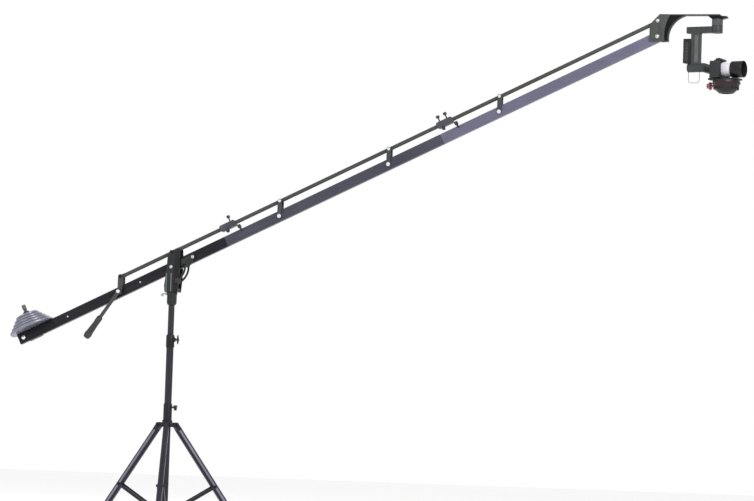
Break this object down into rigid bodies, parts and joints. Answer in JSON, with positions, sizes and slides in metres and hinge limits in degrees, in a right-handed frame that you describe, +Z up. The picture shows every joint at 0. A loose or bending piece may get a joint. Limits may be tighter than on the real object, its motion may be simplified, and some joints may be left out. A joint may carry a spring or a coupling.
{
  "type": "camera jib crane",
  "caption": "Camera jib crane: sectional boom with parallelogram rods on a folding stand, stepped counterweights and a gimbal head with camera.",
  "frame": {"origin": "on the stand's axis at floor level, at the middle of the hub's flat underside", "axes": "+X towards the camera end, +Y across the boom, +Z up"},
  "size_m": [3.6159, 0.688, 2.4499],
  "materials": {
    "stand_paint": "satin",
    "cast_paint": "matte",
    "boom_rear_paint": "satin",
    "boom_front_paint": "satin",
    "rod_paint": "satin",
    "head_paint": "matte",
    "black_paint": "satin",
    "post_steel": "satin",
    "bright_steel": "satin",
    "knob_plastic": "satin",
    "grip_foam": "matte",
    "foot_rubber": "matte",
    "gimbal_shell": "matte",
    "cradle_shell": "matte",
    "camera_shell": "matte",
    "lens_white": "satin",
    "hood_black": "matte",
    "knob_red": "satin"
  },
  "bodies": {
    "stand_base": {"base_column": "stand_paint", "base_hub": "cast_paint", "upper_collar": "cast_paint"},
    "leg_slider": {"leg_collar": "cast_paint"},
    "leg_slider_knob": {"leg_collar_knob": "knob_plastic"},
    "riser_knob": {"upper_collar_knob": "knob_plastic"},
    "riser": {"riser_column": "stand_paint", "pan_socket": "cast_paint"},
    "yoke_fork": {"yoke": "cast_paint", "tilt_axle": "bright_steel"},
    "tilt_lock": {"tilt_lock_knob": "knob_plastic"},
    "boom": {"boom_section_rear": "boom_rear_paint", "boom_section_middle": "boom_front_paint", "boom_section_front": "boom_front_paint", "quadrant_plate": "cast_paint", "weight_post": "post_steel", "weight_disc_1": "bright_steel", "weight_disc_2": "bright_steel", "weight_disc_3": "bright_steel", "weight_disc_4": "bright_steel", "weight_disc_5": "bright_steel"},
    "rear_rod": {"rear_tie_rod": "rod_paint"},
    "front_rod": {"front_tie_rod": "rod_paint", "rod_block_1": "boom_front_paint", "rod_block_2": "boom_front_paint"},
    "crank": {"handle_crank": "rod_paint", "handle_grip": "grip_foam"},
    "head": {"head_plate_near": "head_paint", "head_plate_far": "head_paint", "head_arch": "black_paint", "head_strap": "head_paint", "gimbal_mount": "black_paint", "pan_motor": "gimbal_shell"},
    "gimbal_pan": {"pan_arm": "gimbal_shell", "battery_box": "gimbal_shell"},
    "gimbal_roll": {"roll_arm": "gimbal_shell"},
    "camera_cradle": {"tilt_cradle": "cradle_shell", "camera_body": "camera_shell", "lens_barrel": "lens_white", "lens_hood": "hood_black"},
    "cradle_screw": {"cradle_knob": "knob_red"},
    "leg_1_body": {"leg_1": "stand_paint", "foot_1": "foot_rubber"},
    "brace_1_body": {"brace_1": "stand_paint"},
    "leg_2_body": {"leg_2": "stand_paint", "foot_2": "foot_rubber"},
    "brace_2_body": {"brace_2": "stand_paint"},
    "leg_3_body": {"leg_3": "stand_paint", "foot_3": "foot_rubber"},
    "brace_3_body": {"brace_3": "stand_paint"},
    "link_1_body": {"link_1": "rod_paint"},
    "link_2_body": {"link_2": "rod_paint"},
    "link_3_body": {"link_3": "rod_paint"},
    "boom_knob_1_body": {"boom_knob_1": "knob_plastic"},
    "boom_knob_2_body": {"boom_knob_2": "knob_plastic"},
    "rod_screw_1_top_1_body": {"rod_screw_1_top_1": "knob_plastic"},
    "rod_screw_1_side_body": {"rod_screw_1_side": "knob_plastic"},
    "rod_screw_2_top_1_body": {"rod_screw_2_top_1": "knob_plastic"},
    "rod_screw_2_top_2_body": {"rod_screw_2_top_2": "knob_plastic"},
    "rod_screw_2_side_body": {"rod_screw_2_side": "knob_plastic"}
  },
  "joints": [
    {"name": "leg_fold", "type": "slide", "parent": "stand_base", "child": "leg_slider", "axis": [0, 0, 1], "range_m": [0, 0.2067]},
    {"name": "leg_1_swing", "type": "hinge", "parent": "leg_slider", "child": "leg_1_body", "pos_m": [0.01089, -0.04366, 0.448], "axis": [0.9703, 0.2419, 0], "range_deg": [0, 37]},
    {"name": "brace_1_swing", "type": "hinge", "parent": "stand_base", "child": "brace_1_body", "pos_m": [0.00968, -0.03881, 0.027], "axis": [0.9703, 0.2419, 0], "range_deg": [-59.63, 0]},
    {"name": "leg_2_swing", "type": "hinge", "parent": "leg_slider", "child": "leg_2_body", "pos_m": [0.03237, 0.03126, 0.448], "axis": [-0.6947, 0.7193, 0], "range_deg": [0, 37]},
    {"name": "brace_2_swing", "type": "hinge", "parent": "stand_base", "child": "brace_2_body", "pos_m": [0.02877, 0.02779, 0.027], "axis": [-0.6947, 0.7193, 0], "range_deg": [-59.63, 0]},
    {"name": "leg_3_swing", "type": "hinge", "parent": "leg_slider", "child": "leg_3_body", "pos_m": [-0.04326, 0.0124, 0.448], "axis": [-0.2756, -0.9613, 0], "range_deg": [0, 37]},
    {"name": "brace_3_swing", "type": "hinge", "parent": "stand_base", "child": "brace_3_body", "pos_m": [-0.03845, 0.01103, 0.027], "axis": [-0.2756, -0.9613, 0], "range_deg": [-59.63, 0]},
    {"name": "leg_lock_turn", "type": "hinge", "parent": "leg_slider", "child": "leg_slider_knob", "pos_m": [0.04, 0, 0.533], "axis": [1, 0, 0], "continuous": true},
    {"name": "riser_lock_turn", "type": "hinge", "parent": "stand_base", "child": "riser_knob", "pos_m": [0.035, 0, 0.862], "axis": [1, 0, 0], "continuous": true},
    {"name": "riser_lift", "type": "slide", "parent": "stand_base", "child": "riser", "axis": [0, 0, 1], "range_m": [-0.07, 0.18]},
    {"name": "crane_pan", "type": "hinge", "parent": "riser", "child": "yoke_fork", "pos_m": [0, 0, 1.093], "axis": [0, 0, 1], "continuous": true},
    {"name": "tilt_lock_turn", "type": "hinge", "parent": "yoke_fork", "child": "tilt_lock", "pos_m": [0.0385, 0, 1.14832], "axis": [0, -1, 0], "continuous": true},
    {"name": "arm_tilt", "type": "hinge", "parent": "yoke_fork", "child": "boom", "pos_m": [0, 0, 1.215], "axis": [0, -1, 0], "range_deg": [-44.5, 18.5]},
    {"name": "rear_rod_swing", "type": "hinge", "parent": "yoke_fork", "child": "rear_rod", "pos_m": [0, 0, 1.289], "axis": [0, -1, 0], "range_deg": [-44.5, 18.5]},
    {"name": "front_rod_swing", "type": "hinge", "parent": "yoke_fork", "child": "front_rod", "pos_m": [0, 0, 1.289], "axis": [0, -1, 0], "range_deg": [-44.5, 18.5]},
    {"name": "link_1_swing", "type": "hinge", "parent": "boom", "child": "link_1_body", "pos_m": [0.53704, 0, 1.47115], "axis": [0, -1, 0], "range_deg": [-18.5, 44.5]},
    {"name": "link_2_swing", "type": "hinge", "parent": "boom", "child": "link_2_body", "pos_m": [1.07408, 0, 1.72731], "axis": [0, -1, 0], "range_deg": [-18.5, 44.5]},
    {"name": "link_3_swing", "type": "hinge", "parent": "boom", "child": "link_3_body", "pos_m": [1.61112, 0, 1.98346], "axis": [0, -1, 0], "range_deg": [-18.5, 44.5]},
    {"name": "crank_swing", "type": "hinge", "parent": "boom", "child": "crank", "pos_m": [-0.26265, 0, 1.08972], "axis": [0, -1, 0], "range_deg": [-18.5, 44.5]},
    {"name": "head_swing", "type": "hinge", "parent": "boom", "child": "head", "pos_m": [2.36477, 0, 2.34294], "axis": [0, -1, 0], "range_deg": [-18.5, 44.5]},
    {"name": "boom_knob_1_turn", "type": "hinge", "parent": "boom", "child": "boom_knob_1_body", "pos_m": [0.34992, -0.01286, 1.39888], "axis": [-0.3298, -0.6428, 0.6914], "continuous": true},
    {"name": "boom_knob_2_turn", "type": "hinge", "parent": "boom", "child": "boom_knob_2_body", "pos_m": [1.41498, -0.01286, 1.90688], "axis": [-0.3298, -0.6428, 0.6914], "continuous": true},
    {"name": "rod_screw_1_top_1_turn", "type": "hinge", "parent": "front_rod", "child": "rod_screw_1_top_1_body", "pos_m": [0.28202, 0, 1.44568], "axis": [-0.4305, 0, 0.9026], "continuous": true},
    {"name": "rod_screw_1_side_turn", "type": "hinge", "parent": "front_rod", "child": "rod_screw_1_side_body", "pos_m": [0.27777, -0.01414, 1.40582], "axis": [0.3044, -0.7071, -0.6382], "continuous": true},
    {"name": "rod_screw_2_top_1_turn", "type": "hinge", "parent": "front_rod", "child": "rod_screw_2_top_1_body", "pos_m": [1.31548, 0, 1.93861], "axis": [-0.4305, 0, 0.9026], "continuous": true},
    {"name": "rod_screw_2_top_2_turn", "type": "hinge", "parent": "front_rod", "child": "rod_screw_2_top_2_body", "pos_m": [1.34978, 0, 1.95497], "axis": [-0.4305, 0, 0.9026], "continuous": true},
    {"name": "rod_screw_2_side_turn", "type": "hinge", "parent": "front_rod", "child": "rod_screw_2_side_body", "pos_m": [1.33921, -0.01414, 1.9121], "axis": [0.3044, -0.7071, -0.6382], "continuous": true},
    {"name": "gimbal_pan_turn", "type": "hinge", "parent": "head", "child": "gimbal_pan", "pos_m": [2.64477, 0, 2.37294], "axis": [0, 0, 1], "range_deg": [-170, 170]},
    {"name": "gimbal_roll_turn", "type": "hinge", "parent": "gimbal_pan", "child": "gimbal_roll", "pos_m": [2.56909, 0.01887, 2.19994], "axis": [0.9703, -0.2419, 0], "range_deg": [-40, 40]},
    {"name": "gimbal_tilt_turn", "type": "hinge", "parent": "gimbal_roll", "child": "camera_cradle", "pos_m": [2.68353, 0.07279, 2.19994], "axis": [0.2419, 0.9703, 0], "range_deg": [-60, 20]},
    {"name": "cradle_knob_turn", "type": "hinge", "parent": "camera_cradle", "child": "cradle_screw", "pos_m": [2.61566, 0.00726, 2.11194], "axis": [0.9703, -0.2419, 0], "continuous": true}
  ],
  "couplings": [
    {"joint": "leg_1_swing", "follows": "leg_fold", "rad_per_m": 3.1241},
    {"joint": "brace_1_swing", "follows": "leg_fold", "rad_per_m": -5.0343},
    {"joint": "leg_2_swing", "follows": "leg_fold", "rad_per_m": 3.1241},
    {"joint": "brace_2_swing", "follows": "leg_fold", "rad_per_m": -5.0343},
    {"joint": "leg_3_swing", "follows": "leg_fold", "rad_per_m": 3.1241},
    {"joint": "brace_3_swing", "follows": "leg_fold", "rad_per_m": -5.0343},
    {"joint": "rear_rod_swing", "follows": "arm_tilt", "ratio": 1},
    {"joint": "front_rod_swing", "follows": "arm_tilt", "ratio": 1},
    {"joint": "link_1_swing", "follows": "arm_tilt", "ratio": -1},
    {"joint": "link_2_swing", "follows": "arm_tilt", "ratio": -1},
    {"joint": "link_3_swing", "follows": "arm_tilt", "ratio": -1},
    {"joint": "crank_swing", "follows": "arm_tilt", "ratio": -1},
    {"joint": "head_swing", "follows": "arm_tilt", "ratio": -1}
  ]
}
